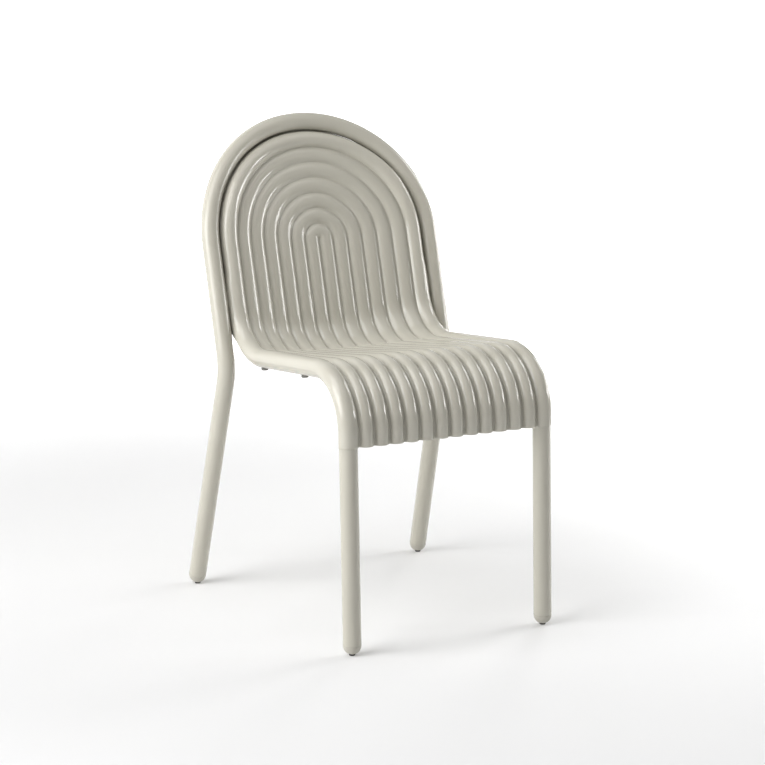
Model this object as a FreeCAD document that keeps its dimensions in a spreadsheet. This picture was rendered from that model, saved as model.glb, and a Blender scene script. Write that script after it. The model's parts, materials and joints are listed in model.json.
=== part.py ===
"""Ribbed side chair: a dished, ribbed shell on a frame of bent tubes.

Frame: origin on the floor below the middle of the chair, +Z up,
the front of the chair towards -Y. All lengths are millimetres.
"""
import FreeCAD, Part
import math
import os
import Sketcher
from FreeCAD import Placement, Rotation, Vector

SIZES = [
    ("tube_od", 30.0, "outside diameter of the frame tubes"),
    ("tube_wall", 2.0, "wall of the frame tubes"),
    ("front_leg_x", 179.0, "side tube's distance from the middle plane"),
    ("front_foot_y", 266.66, "front feet, distance in front of the origin"),
    ("rear_foot_y", 234.73, "rear feet, distance behind the origin"),
    ("front_rake", 1.95, "lean of the front legs, degrees"),
    ("rail_height", 433.02, "height of the rail's axis over the origin"),
    ("seat_slope", 5.0, "fall of the seat towards the back, degrees"),
    ("front_bend", 92.0, "radius of the side tube over the front leg"),
    ("rear_bend", 97.0, "radius of the side tube behind the seat"),
    ("tail_end", 135.0, "end of the side tube along the upright"),
    ("tube_gap", 2.6, "gap between the side tube and the hoop"),
    ("hoop_half", "=front_leg_x + tube_od + tube_gap", "half width of the hoop, and radius of its arch"),
    ("foot_spread", 11.2, "rear feet, distance outside the uprights"),
    ("rear_foot_x", "=hoop_half + foot_spread", "rear feet, distance from the middle plane"),
    ("bend_drop", 31.92, "rear leg's bend below the rail's axis over the origin"),
    ("hoop_bend_z", "=rail_height - bend_drop", "height of the rear leg's bend"),
    ("rear_rake", 16.203, "lean of the rear legs, degrees"),
    ("back_lean", 16.05, "lean of the uprights, degrees"),
    ("leg_bend", 100.0, "radius of the rear leg's bend"),
    ("upright", 212.9, "upright from the bend to the spring of the arch"),
    ("dish_radius", 817.0, "radius of the hollow of the back, seen from above"),
    ("dome_lift", 1.5, "lowest point of a plug above the floor"),
    ("spigot", 20.0, "length of a plug inside its tube"),
    ("slip", 0.1, "clearance of a plug in its tube"),
    ("glide_d", 10.0, "diameter of a glide pad"),
    ("glide_tall", 6.0, "height of a glide pad"),
    ("glide_edge", 0.8, "chamfer of a glide pad"),
    ("cap_tall", 3.0, "height of a rail cap"),
    ("cap_edge", 2.4, "rounding of a rail cap"),
    ("bumper_d", 12.0, "diameter of a stacking bumper"),
    ("bumper_tall", 4.0, "height of a stacking bumper"),
    ("bumper_edge", 2.0, "rounding of a stacking bumper"),
    ("stem_d", 6.0, "diameter of a bumper's stem"),
    ("stem_long", 5.0, "length of a bumper's stem"),
    ("bumper_front_y", -103.3, "front bumpers"),
    ("bumper_rear_y", 45.8, "rear bumpers"),
    ("ribs_a_side", 6.0, "inner ribs on each side of the middle"),
    ("valley_gap", 0.2, "last valley's distance inside the side tube"),
    ("rib_pitch", "=(front_leg_x - tube_od / 2 - valley_gap) / ribs_a_side", "distance between the ribs"),
    ("rib_depth", 9.0, "height of the ribs over the valleys of the apron"),
    ("back_rib_depth", 5.0, "height of the ribs over the valleys of the back"),
    ("valley_wide", 5.0, "width of the hollow between two ribs of the apron"),
    ("shell_wall", 3.5, "wall of the shell"),
    ("shell_gap", 0.4, "clearance of the shell over the side tube"),
    ("cover_wall", 1.1, "wall of the shell over the side tube"),
    ("crest", "=tube_od / 2 + shell_gap + cover_wall", "outer rib's radius about the side tube"),
    ("lip_short", 1.5, "shell's edge inside the side tube's widest point"),
    ("shell_lip", "=tube_od / 2 - lip_short", "shell's edge outside the side tube's axis"),
    ("apron_drop", 96.62, "apron's lower edge below the rail's axis over the origin"),
    ("shell_foot", "=rail_height - apron_drop", "height of the apron's lower edge"),
    ("dish_depth", 19.6, "hollow of the back in the middle"),
    ("centre_slope", 7.5, "fall of the seat in the middle, degrees"),
    ("centre_bend", 70.0, "radius behind the seat in the middle"),
    ("bar_wide", 25.0, "width of a seat bar"),
    ("bar_drop", 8.0, "seat bars' upper face below the rail's axis"),
    ("rear_bar_drop", 2.0, "rear seat bar's drop below the front one"),
    ("front_bar_y", -106.0, "front seat bar"),
    ("rear_bar_y", 29.0, "rear seat bar"),
    ("seat_screw_ribs", 3.5, "seat screws' distance from the middle, in ribs"),
    ("back_screw_ribs", 5.5, "back screws' distance from the middle, in ribs"),
    ("joint_long", 30.0, "length of a joint plate"),
    ("joint_thick", 7.0, "thickness of a joint plate"),
    ("plate_thick", 4.0, "thickness of a seat bar or back bracket"),
    ("bracket_wide", 26.0, "width of a back bracket"),
    ("bracket_depth", 10.0, "side brackets' front face behind the hoop's axis"),
    ("arch_depth", "=hoop_half * hoop_half / (2 * dish_radius)", "arch's top behind the uprights"),
    ("top_bracket_depth", "=arch_depth + bracket_depth", "top bracket's front face behind the uprights"),
    ("bracket_along", 170.0, "side brackets' place along the upright"),
    ("bracket_past", 14.0, "bracket's end past its screw"),
    ("boss_d", 15.0, "diameter of a shell boss"),
    ("insert_d", 8.0, "diameter of a threaded insert"),
    ("insert_long", 7.0, "length of a threaded insert"),
    ("screw_d", 5.0, "diameter of a screw"),
    ("screw_play", 0.6, "clearance of a screw in its hole"),
    ("head_d", 10.0, "diameter of a screw's head"),
    ("head_tall", 4.0, "height of a screw's head"),
    ("socket_d", 4.0, "diameter of a screw's socket"),
    ("socket_deep", 2.2, "depth of a screw's socket"),
    ("washer_d", 13.0, "diameter of a washer"),
    ("washer_thick", 1.2, "thickness of a washer"),
    ("grip", 6.0, "screw's length in its insert"),
]

doc = FreeCAD.newDocument("ribbed_side_chair")
sheet = doc.addObject("Spreadsheet::Sheet", "sizes")
for row, (alias, _, note) in enumerate(SIZES, 1):
    sheet.set(f"A{row}", note)
    sheet.setAlias(f"B{row}", alias)
for row, (_, value, _) in enumerate(SIZES, 1):
    sheet.set(f"B{row}", str(value))
doc.recompute()


class Size:
    """A length with the sheet expression that gives it."""

    def __init__(self, text, number):
        self.text = text
        self.number = number

    def __add__(self, other):
        return Size(f"({self.text} + {text_of(other)})", self.number + float(other))

    def __sub__(self, other):
        return Size(f"({self.text} - {text_of(other)})", self.number - float(other))

    def __mul__(self, other):
        return Size(f"({self.text} * {text_of(other)})", self.number * float(other))

    def __truediv__(self, other):
        return Size(f"({self.text} / {text_of(other)})", self.number / float(other))

    def __neg__(self):
        return Size(f"(-{self.text})", -self.number)

    def __float__(self):
        return float(self.number)


def text_of(value):
    return value.text if isinstance(value, Size) else repr(float(value))


def size(alias):
    return Size(f"sizes.{alias}", float(sheet.get(alias)))


def sine(angle):
    return Size(f"sin({angle.text} * 1 deg)", math.sin(math.radians(float(angle))))


def cosine(angle):
    return Size(f"cos({angle.text} * 1 deg)", math.cos(math.radians(float(angle))))


def tangent(angle):
    return sine(angle) / cosine(angle)


def bind(obj, **sizes):
    for name, value in sizes.items():
        obj.setExpression(name, text_of(value))


tube_r = size("tube_od") / 2
bore_r = tube_r - size("tube_wall")
ZERO = Size("0", 0.0)
RIGHT_ANGLE = Size("90", 90.0)
TINY = 1e-4
nodes = {}


def node(name, obj):
    obj.Label = name
    nodes[name] = obj
    return obj


# Small helpers for vectors in the middle plane and for tangent arcs.

def side_point(y, z, x=0.0):
    return Vector(x, y, z)


def lean(degrees):
    """Unit vector that rises and leans back by an angle from the vertical."""
    angle = math.radians(degrees)
    return Vector(0, math.sin(angle), math.cos(angle))


def fall(degrees):
    """Unit vector that runs back and falls by an angle from the level."""
    angle = math.radians(degrees)
    return Vector(0, math.cos(angle), -math.sin(angle))


def face_normal(along):
    """Normal of a side profile on the sitter's side."""
    return Vector(0, -along.z, along.y)


def crossing(start_a, along_a, start_b, along_b):
    """Where two lines of the middle plane meet."""
    gap = start_b - start_a
    cross = along_a.y * along_b.z - along_a.z * along_b.y
    reach = (gap.y * along_b.z - gap.z * along_b.y) / cross
    return start_a + along_a * reach


def tangent_arc(start, corner, end):
    """Arc that leaves start towards the corner and reaches end from it."""
    middle = (start + end) / 2
    half = math.atan2((corner - middle).Length, (middle - start).Length)
    share = math.tan(half / 2) / math.tan(half)
    return Part.Arc(start, middle + (corner - middle) * share, end)


def round_corner(before, corner, after, radius):
    """Tangent points and arc of a rounded corner."""
    inward = (corner - before).normalize()
    outward = (after - corner).normalize()
    reach = radius * math.tan(inward.getAngle(outward) / 2)
    start = corner - inward * reach
    end = corner + outward * reach
    return start, tangent_arc(start, corner, end), end


def biarc(start, start_along, end, end_along):
    """Two arcs, tangent to each other, between two points with directions."""
    gap = end - start
    both = start_along + end_along
    spread = 2 * (1 - start_along.dot(end_along))
    push = gap.dot(both)
    reach = (math.sqrt(push * push + spread * gap.dot(gap)) - push) / spread
    first = start + start_along * reach
    last = end - end_along * reach
    middle = (first + last) / 2
    return [tangent_arc(start, first, middle), tangent_arc(middle, last, end)]


# Guide points of the frame, all in the chair's middle plane.

sole = tube_r + size("dome_lift")
foot_z = float(sole)
front_foot = side_point(-float(size("front_foot_y")), foot_z)
rear_foot_y = float(size("rear_foot_y"))
leg_along = lean(float(size("front_rake")))
seat_along = fall(float(size("seat_slope")))
rail_start = side_point(0, float(size("rail_height")))
up_along = lean(float(size("back_lean")))
bend_y = size("rear_foot_y") - (size("hoop_bend_z") - sole) * tangent(size("rear_rake"))
hoop_bend = side_point(float(bend_y), float(size("hoop_bend_z")))
front_corner = crossing(front_foot, leg_along, rail_start, seat_along)
rear_corner = crossing(rail_start, seat_along, hoop_bend, up_along)
tail_y = bend_y + size("tail_end") * sine(size("back_lean"))
tail_z = size("hoop_bend_z") + size("tail_end") * cosine(size("back_lean"))
tail_tip = side_point(float(tail_y), float(tail_z))
back_normal = face_normal(up_along)


def rail_axis(y):
    """Point of the rail's straight run at a distance from the origin."""
    return rail_start + seat_along * (y / seat_along.y)


def back_point(x, along, depth):
    """Point by its side offset, its length up the back and its depth in front of the uprights."""
    return hoop_bend + up_along * along + back_normal * depth + Vector(x, 0, 0)


def on_back(x, along, depth):
    """Placement with X across, Y up the back and Z towards the sitter."""
    turn = Rotation(Vector(1, 0, 0), up_along, back_normal, "ZXY")
    return Placement(back_point(x, along, depth), turn)


def turned_to(point, along):
    return Placement(point, Rotation(Vector(0, 0, 1), along))


# Bodies.

def origin_plane(body, role):
    return next(item for item in body.Origin.OriginFeatures if item.Role == role)


def new_body(name):
    return doc.addObject("PartDesign::Body", name)


def new_sketch(body, name, role):
    sketch = body.newObject("Sketcher::SketchObject", name)
    sketch.AttachmentSupport = [(origin_plane(body, role), "")]
    sketch.MapMode = "FlatFace"
    return sketch


def fix(sketch, kind, value, *where):
    """Dimension of a sketch that follows the sheet."""
    index = sketch.addConstraint(Sketcher.Constraint(kind, *where, float(value)))
    if isinstance(value, Size):
        sketch.setExpression(f"Constraints[{index}]", value.text)


def fix_angle(sketch, item, degrees):
    """Turn of a line from the sketch's X axis."""
    index = sketch.addConstraint(Sketcher.Constraint("Angle", item, math.radians(float(degrees))))
    sketch.setExpression(f"Constraints[{index}]", f"{degrees.text} * 1 deg")


def fix_point(sketch, item, end, across, up):
    for kind, value in (("DistanceX", across), ("DistanceY", up)):
        if float(value) == 0.0:
            lock = "PointOnObject"
            axis = -2 if kind == "DistanceX" else -1
            sketch.addConstraint(Sketcher.Constraint(lock, item, end, axis))
        else:
            fix(sketch, kind, value, -1, 1, item, end)


def ring(sketch, outer, inner=None):
    """Circles about the sketch's origin."""
    for radius in (outer, inner):
        if radius is None:
            continue
        circle = Part.Circle(Vector(0, 0, 0), Vector(0, 0, 1), float(radius))
        item = sketch.addGeometry(circle, False)
        sketch.addConstraint(Sketcher.Constraint("Coincident", item, 3, -1, 1))
        fix(sketch, "Radius", radius, item)


def turned_body(name, outline):
    """Body turned about its Z axis from an outline of (radius, height) points."""
    body = new_body(name)
    sketch = new_sketch(body, f"{name}_outline", "XZ_Plane")
    corners = [Vector(float(r), float(z), 0) for r, z in outline]
    count = len(corners)
    for here in range(count):
        sketch.addGeometry(Part.LineSegment(corners[here], corners[(here + 1) % count]), False)
    for here, (radius, height) in enumerate(outline):
        sketch.addConstraint(Sketcher.Constraint("Coincident", here - 1 if here else count - 1, 2, here, 1))
        fix_point(sketch, here, 1, radius, height)
    turn = body.newObject("PartDesign::Revolution", f"{name}_turn")
    turn.Profile = sketch
    turn.ReferenceAxis = (sketch, ["V_Axis"])
    turn.Angle = 360
    return body


def padded_body(name, outer, inner, tall):
    """Disc or washer that stands on its own XY plane."""
    body = new_body(name)
    sketch = new_sketch(body, f"{name}_ring", "XY_Plane")
    ring(sketch, outer, inner)
    pad = body.newObject("PartDesign::Pad", f"{name}_pad")
    pad.Profile = sketch
    bind(pad, Length=tall)
    return body


def round_edges(body, name, radius, chosen):
    """Fillet of the edges of the body's tip that a test picks."""
    doc.recompute()
    base = body.Tip
    picked = [f"Edge{i}" for i, edge in enumerate(base.Shape.Edges, 1) if chosen(edge)]
    fillet = body.newObject("PartDesign::Fillet", name)
    fillet.Base = (base, picked)
    bind(fillet, Radius=radius)
    return body


def cylinder(name, radius, tall, place):
    obj = doc.addObject("Part::Cylinder", name)
    bind(obj, Radius=radius, Height=tall)
    obj.Placement = place
    return obj


def cut(name, base, tools):
    """Base less the tools, one after the other."""
    for count, tool in enumerate(tools, 1):
        obj = doc.addObject("Part::Cut", name if count == len(tools) else f"{name}_cut_{count}")
        obj.Base = base
        obj.Tool = tool
        base = obj
    return base


def joined(name, pieces):
    obj = doc.addObject("Part::MultiFuse", name)
    obj.Shapes = pieces
    return obj


def group(name, pieces):
    obj = doc.addObject("Part::Compound", name)
    obj.Links = pieces
    return node(name, obj)


# Side tubes: front leg, front bend, seat rail and the tail beside the upright.

def side_tube_body(name):
    """Tube in the YZ plane, swept along two straight legs, two bends and the rail."""
    body = new_body(name)
    path = new_sketch(body, f"{name}_path", "YZ_Plane")
    front_start, front_arc, front_end = round_corner(
        front_foot, front_corner, rear_corner, float(size("front_bend")))
    rear_start, rear_arc, rear_end = round_corner(
        front_corner, rear_corner, tail_tip, float(size("rear_bend")))
    flat = lambda point: Vector(point.y, point.z, 0)
    runs = [(front_foot, front_start), (front_end, rear_start), (rear_end, tail_tip)]
    for start, end in runs:
        path.addGeometry(Part.LineSegment(flat(start), flat(end)), False)
    bends = ((front_arc, "front_bend", 0, 1, (2, 1)), (rear_arc, "rear_bend", 1, 2, (1, 2)))
    for arc, alias, before, after, ends in bends:
        points = [arc.StartPoint, arc.value((arc.FirstParameter + arc.LastParameter) / 2), arc.EndPoint]
        item = path.addGeometry(Part.Arc(*[flat(point) for point in points]), False)
        path.addConstraint(Sketcher.Constraint("Tangent", before, 2, item, ends[0]))
        path.addConstraint(Sketcher.Constraint("Tangent", item, ends[1], after, 1))
        fix(path, "Radius", size(alias), item)
    fix_point(path, 0, 1, -size("front_foot_y"), sole)
    fix_point(path, 2, 2, tail_y, tail_z)
    fix_angle(path, 0, RIGHT_ANGLE - size("front_rake"))
    fix_angle(path, 1, -size("seat_slope"))
    fix_angle(path, 2, RIGHT_ANGLE - size("back_lean"))
    mark = path.addGeometry(Part.Point(flat(rail_start)), True)
    fix_point(path, mark, 1, ZERO, size("rail_height"))
    path.addConstraint(Sketcher.Constraint("PointOnObject", mark, 1, 1))
    section = new_sketch(body, f"{name}_section", "XY_Plane")
    section.AttachmentOffset = turned_to(front_foot, leg_along)
    ring(section, tube_r, bore_r)
    pipe = body.newObject("PartDesign::AdditivePipe", f"{name}_pipe")
    pipe.Profile = section
    pipe.Spine = path
    return body


rail_normal = face_normal(seat_along)
bumper_places = {end: rail_axis(float(size(f"bumper_{end}_y"))) for end in ("front", "rear")}
sides = {"left": -1.0, "right": 1.0}


def side_tube(side, sign):
    body = side_tube_body(f"{side}_tube")
    offset = Vector(sign * float(size("front_leg_x")), 0, 0)
    body.Placement = Placement(offset, Rotation())
    holes = []
    for end, place in bumper_places.items():
        deep = turned_to(place + offset - rail_normal * float(size("tube_od")), rail_normal)
        holes.append(cylinder(f"{side}_{end}_stem_hole", size("stem_d") / 2, size("tube_od"), deep))
    return node(f"{side}_side_tube", cut(f"{side}_side_tube", body, holes))


def bumper(side, end, sign):
    """Rubber button with a stem through the rail's lower wall."""
    head = size("bumper_d") / 2
    stem = size("stem_d") / 2
    name = f"{side}_{end}_bumper"
    body = turned_body(name, [
        (ZERO, ZERO), (head, ZERO), (head, size("bumper_tall")), (stem, size("bumper_tall")),
        (stem, size("bumper_tall") + size("stem_long")), (ZERO, size("bumper_tall") + size("stem_long"))])
    low = lambda edge: edge.Closed and abs(edge.BoundBox.ZMax) < TINY
    round_edges(body, f"{name}_edge", size("bumper_edge"), low)
    offset = Vector(sign * float(size("front_leg_x")), 0, 0)
    depth = float(tube_r + size("bumper_tall"))
    body.Placement = turned_to(bumper_places[end] + offset - rail_normal * depth, rail_normal)
    return node(name, body)


def rail_cap(side, sign):
    """Cap with a spigot on the upper end of a side tube."""
    inner = bore_r - size("slip")
    name = f"{side}_rail_cap"
    body = turned_body(name, [
        (ZERO, -size("spigot")), (inner, -size("spigot")), (inner, ZERO), (tube_r, ZERO),
        (tube_r, size("cap_tall")), (ZERO, size("cap_tall"))])
    top = lambda edge: edge.Closed and abs(edge.BoundBox.ZMin - float(size("cap_tall"))) < TINY
    round_edges(body, f"{name}_edge", size("cap_edge"), top)
    body.Placement = turned_to(tail_tip + Vector(sign * float(size("front_leg_x")), 0, 0), up_along)
    return node(name, body)


for side, sign in sides.items():
    side_tube(side, sign)
    rail_cap(side, sign)
    for end in bumper_places:
        bumper(side, end, sign)


# Rear hoop: both rear legs and the arch, bent from one tube.

def hoop_depth(x):
    """Depth of the hoop's axis behind the uprights, on the dished back."""
    half = float(size("hoop_half"))
    return -(half * half - x * x) / (2 * float(size("dish_radius")))


def arch_point(angle):
    half = float(size("hoop_half"))
    x = half * math.cos(angle)
    return back_point(x, float(size("upright")) + half * math.sin(angle), hoop_depth(x))


def arch_along(angle):
    return (arch_point(angle - TINY) - arch_point(angle + TINY)).normalize()


ARCH_SPANS = 6


def hoop_edges():
    """Lines and arcs of the hoop's axis, from the left foot to the right one."""
    half = float(size("hoop_half"))
    foot_x = float(size("rear_foot_x"))
    legs = {}
    for side, sign in sides.items():
        foot = side_point(rear_foot_y, foot_z, sign * foot_x)
        corner = hoop_bend + Vector(sign * half, 0, 0)
        spring = back_point(sign * half, float(size("upright")), 0.0)
        legs[side] = (foot, *round_corner(foot, corner, spring, float(size("leg_bend"))), spring)
    foot, start, arc, end, spring = legs["left"]
    edges = [Part.LineSegment(foot, start), arc, Part.LineSegment(end, spring)]
    angles = [math.pi * (1 - step / ARCH_SPANS) for step in range(ARCH_SPANS + 1)]
    for here, there in zip(angles, angles[1:]):
        edges += biarc(arch_point(here), arch_along(here), arch_point(there), arch_along(there))
    foot, start, arc, end, spring = legs["right"]
    back_arc = tangent_arc(end, hoop_bend + Vector(half, 0, 0), start)
    edges += [Part.LineSegment(spring, end), back_arc, Part.LineSegment(start, foot)]
    return edges, legs


hoop_curves, hoop_legs = hoop_edges()
hoop_path = doc.addObject("Part::Feature", "hoop_path")
hoop_path.Shape = Part.Wire([curve.toShape() for curve in hoop_curves])


def leg_direction(side):
    foot, start = hoop_legs[side][0], hoop_legs[side][1]
    return (start - foot).normalize()


def hoop_sweep(name, radius):
    """Solid round bar along the hoop's axis."""
    circle = doc.addObject("Part::Circle", f"{name}_circle")
    bind(circle, Radius=radius)
    circle.Placement = turned_to(hoop_legs["left"][0], leg_direction("left"))
    sweep = doc.addObject("Part::Sweep", name)
    sweep.Sections = [circle]
    sweep.Spine = (hoop_path, [f"Edge{i}" for i in range(1, len(hoop_curves) + 1)])
    sweep.Solid = True
    return sweep


hoop_bar = hoop_sweep("hoop_bar", tube_r)
node("rear_hoop", cut("rear_hoop", hoop_bar, [hoop_sweep("hoop_bore", bore_r)]))


# Foot plugs with their glide pads.

def foot(name, centre, along):
    """Half-round plug in a leg's end, and the pad that it stands on."""
    dome = doc.addObject("Part::Sphere", f"{name}_dome")
    bind(dome, Radius=tube_r)
    dome.Angle1 = -90
    dome.Angle2 = 0
    dome.Placement = turned_to(centre, along)
    stub = cylinder(f"{name}_stub", bore_r - size("slip"), size("spigot"), turned_to(centre, along))
    below = Placement(Vector(centre.x, centre.y, 0), Rotation())
    seat = cylinder(f"{name}_seat", size("glide_d") / 2, size("glide_tall"), below)
    node(f"{name}_foot_plug", cut(f"{name}_foot_plug", joined(f"{name}_plug", [dome, stub]), [seat]))
    edge = size("glide_d") / 2 - size("glide_edge")
    pad = turned_body(f"{name}_glide", [
        (ZERO, ZERO), (edge, ZERO), (size("glide_d") / 2, size("glide_edge")),
        (size("glide_d") / 2, size("glide_tall")), (ZERO, size("glide_tall"))])
    pad.Placement = below
    node(f"{name}_glide", pad)


for side, sign in sides.items():
    foot(f"front_{side}", front_foot + Vector(sign * float(size("front_leg_x")), 0, 0), leg_along)
    foot(f"rear_{side}", hoop_legs[side][0], leg_direction(side))


# Joint plates between the rails' tails and the uprights.

def joint_plate(side, sign):
    """Filler between the two tubes, hollowed on both sides by their walls."""
    blank = doc.addObject("Part::Box", f"{side}_joint_blank")
    inset = bore_r + size("tube_wall") / 4
    near = size("front_leg_x") + inset
    far = size("hoop_half") - inset
    bind(blank, Length=far - near, Width=size("joint_long"), Height=size("joint_thick"))
    start = float(near) if sign > 0 else -float(far)
    low = float(size("tail_end") - size("joint_long"))
    blank.Placement = on_back(start, low, -float(size("joint_thick")) / 2)
    tubes = [doc.getObject(f"{side}_tube"), nodes["rear_hoop"]]
    node(f"{side}_joint_plate", cut(f"{side}_joint_plate", blank, tubes))


for side, sign in sides.items():
    joint_plate(side, sign)


# Shell: a dished sheet whose ribs run up the seat and round the arch.

VALLEY_STEPS = 2
CREST_STEPS = 3
SAMPLES_A_RIB = 2 * (VALLEY_STEPS + CREST_STEPS)
ROWS_A_PATCH = 6
EDGE_STEPS = 12
ROWS = {"apron": 2, "roll": 9, "seat": 5, "bend": 9, "back": 5, "arch": 12}
last_valley = float(size("rib_pitch") * size("ribs_a_side"))
outer_x = float(size("front_leg_x"))
shell_edge = float(size("front_leg_x") + size("shell_lip"))
valley_rise = float(size("crest") - size("rib_depth"))


def flank(depth):
    """Sine of the steepest slope of a rib of this height."""
    return math.sin(2 * math.atan2(depth, float(size("rib_pitch")) / 2))


def rib(reach, depth):
    """Height over the valley level: round ribs that meet round valleys at a tangent."""
    if reach > last_valley:
        return max(0.0, tube_cover(reach, float(size("crest"))) - valley_rise)
    pitch = float(size("rib_pitch"))
    steep = flank(depth)
    hollow = float(size("valley_wide")) / 2 / flank(float(size("rib_depth")))
    valley_half = hollow * steep
    off = abs(reach - pitch * round(reach / pitch))
    if off < valley_half:
        return hollow - math.sqrt(hollow * hollow - off * off)
    radius = (pitch / 2 - valley_half) / steep
    rest = pitch / 2 - off
    return depth - radius + math.sqrt(radius * radius - rest * rest)


def depth_at(row):
    """Height of the ribs in a row up the shell; it shrinks along the seat."""
    share = (row - ROWS["apron"] - ROWS["roll"]) / ROWS["seat"]
    share = min(max(share, 0.0), 1.0)
    share = share * share * (3 - 2 * share)
    full = float(size("rib_depth"))
    return full + (float(size("back_rib_depth")) - full) * share


def tube_cover(reach, radius):
    """Height of a round cover of this radius over the side tube's axis, straight past the lip."""
    lip = float(size("shell_lip"))
    off = abs(reach - outer_x)
    edge = math.sqrt(radius * radius - lip * lip)
    if off > lip:
        return edge - (off - lip) * lip / edge
    return math.sqrt(radius * radius - off * off)


def middle_share(x):
    """1 on the middle line, 0 from the last valley outwards."""
    return max(0.0, 1 - (x / last_valley) ** 2)


def guide(slope, bend, back_depth):
    """Rows of (point, normal) up the shell's valley level: apron, roll, seat and bend."""
    lift = valley_rise
    apron_foot = front_foot + leg_along * ((float(size("shell_foot")) - foot_z) / leg_along.z)
    roll_start, _, roll_end = round_corner(front_foot, front_corner, rear_corner, float(size("front_bend")))
    run = fall(slope)
    back_start = hoop_bend + back_normal * back_depth
    seat_start = roll_end + face_normal(seat_along) * lift
    corner = crossing(seat_start, run, back_start, up_along)
    top = back_start + up_along * float(size("upright"))
    bend_start, _, bend_end = round_corner(seat_start, corner, top, bend)
    rows = []
    leg_normal = face_normal(leg_along)
    for step in range(ROWS["apron"]):
        share = step / ROWS["apron"]
        rows.append((apron_foot + (roll_start - apron_foot) * share + leg_normal * lift, leg_normal))
    centre = roll_start - leg_normal * float(size("front_bend"))
    for step in range(ROWS["roll"]):
        normal = blend(leg_normal, face_normal(seat_along), step / ROWS["roll"])
        rows.append((centre + normal * (float(size("front_bend")) + lift), normal))
    for step in range(ROWS["seat"]):
        rows.append((seat_start + (bend_start - seat_start) * (step / ROWS["seat"]), face_normal(run)))
    hollow = bend_start + face_normal(run) * bend
    for step in range(ROWS["bend"]):
        normal = blend(face_normal(run), back_normal, step / ROWS["bend"])
        rows.append((hollow - normal * bend, normal))
    rows.append((bend_end, back_normal))
    return rows


def blend(first, last, share):
    """Direction turned from one unit vector towards another."""
    turn = first.getAngle(last)
    return (first * math.sin((1 - share) * turn) + last * math.sin(share * turn)) / math.sin(turn)


def reaches():
    """Distances from the middle rib line, closer together in the valleys and in the outer rib."""
    pitch = float(size("rib_pitch"))
    valley_half = float(size("valley_wide")) / 2
    marks = [valley_half * step / VALLEY_STEPS for step in range(VALLEY_STEPS)]
    marks += [valley_half + (pitch / 2 - valley_half) * step / CREST_STEPS for step in range(CREST_STEPS + 1)]
    marks += [pitch - mark for mark in marks[-2:0:-1]]
    made = [pitch * turn + mark for turn in range(round(last_valley / pitch)) for mark in marks]
    rest = shell_edge - last_valley
    for i in range(EDGE_STEPS + 1):
        made.append(last_valley + rest * (1 - math.cos(math.pi * i / EDGE_STEPS)) / 2)
    return made


def sheet_depth(reach, depth, under):
    """Height of the upper or the lower face above the valley level, by the height of the ribs."""
    upper = rib(reach, depth)
    if not under:
        return upper
    lower = upper - float(size("shell_wall"))
    if abs(reach - outer_x) < float(tube_r):
        cover = float(tube_r + size("shell_gap"))
        lower = max(lower, tube_cover(reach, cover) - valley_rise)
    return lower


def back_sheet(x, along, under):
    """Point of the back, where the ribs turn round the arch's centre."""
    up = max(0.0, along - float(size("upright")))
    deep = float(size("dish_depth"))
    follow = -hoop_depth(0.0) - deep
    level = valley_rise - deep * middle_share(x) - follow * (up / outer_x) ** 2
    rise = sheet_depth(math.hypot(x, up), float(size("back_rib_depth")), under)
    return back_point(x, along, level + rise)


def along_back(point):
    return (point - hoop_bend).dot(up_along)


edge_rows = guide(float(size("seat_slope")), float(size("rear_bend")) - valley_rise, valley_rise)
mid_rows = guide(float(size("centre_slope")), float(size("centre_bend")),
                 valley_rise - float(size("dish_depth")))
edge_end = along_back(edge_rows.pop()[0])
mid_end = along_back(mid_rows.pop()[0])


def rising_line(x, under):
    """Points at one side offset from the apron's edge up to the spring of the arch."""
    share = middle_share(x)
    points = []
    for row, ((edge, edge_normal), (middle, mid_normal)) in enumerate(zip(edge_rows, mid_rows)):
        lift = sheet_depth(abs(x), depth_at(row), under)
        normal = (edge_normal * (1 - share) + mid_normal * share).normalize()
        points.append(edge + (middle - edge) * share + normal * lift + Vector(x, 0, 0))
    start = edge_end + (mid_end - edge_end) * share
    climb = float(size("upright")) - start
    for step in range(ROWS["back"] + 1):
        points.append(back_sheet(x, start + climb * step / ROWS["back"], under))
    return points


def arch_line(reach, under):
    """Points round one quarter of the arch, from its top to its spring, at one distance from its centre."""
    spring = float(size("upright"))
    turns = [math.pi / 2 * (1 - step / ROWS["arch"]) for step in range(ROWS["arch"] + 1)]
    return [back_sheet(reach * math.cos(turn), spring + reach * math.sin(turn), under) for turn in turns]


def chords(points):
    """Running length of the straight steps between points."""
    made = [0.0]
    for near, far in zip(points, points[1:]):
        made.append(made[-1] + (far - near).Length)
    return made


def through(points, places):
    """Cubic line through points at set places along it."""
    line = Part.BSplineCurve()
    line.interpolate(Points=list(points), Parameters=places)
    return line


def skin(grid):
    """Cubic sheet through lines of points; its first line may be one point."""
    across = chords([line[-1] for line in grid])
    along = chords(grid[-1])
    columns = [through(column, across) for column in zip(*grid)]
    first, *rest = zip(*[column.getPoles() for column in columns])
    lines = [through(row, along) for row in rest]
    if chords(first)[-1] > TINY:
        start = through(first, along).getPoles()
    else:
        start = [first[0]] * len(lines[0].getPoles())
    sheet = Part.BSplineSurface()
    sheet.buildFromPolesMultsKnots(
        [start] + [line.getPoles() for line in lines], columns[0].getMultiplicities(),
        lines[0].getMultiplicities(), columns[0].getKnots(), lines[0].getKnots(), False, False,
        columns[0].Degree, lines[0].Degree)
    return sheet


def spans(knots, every):
    """Neighbouring pairs of every so many knots, up to the last."""
    marks = knots[:-1:every] + knots[-1:]
    return list(zip(marks, marks[1:]))


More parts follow.
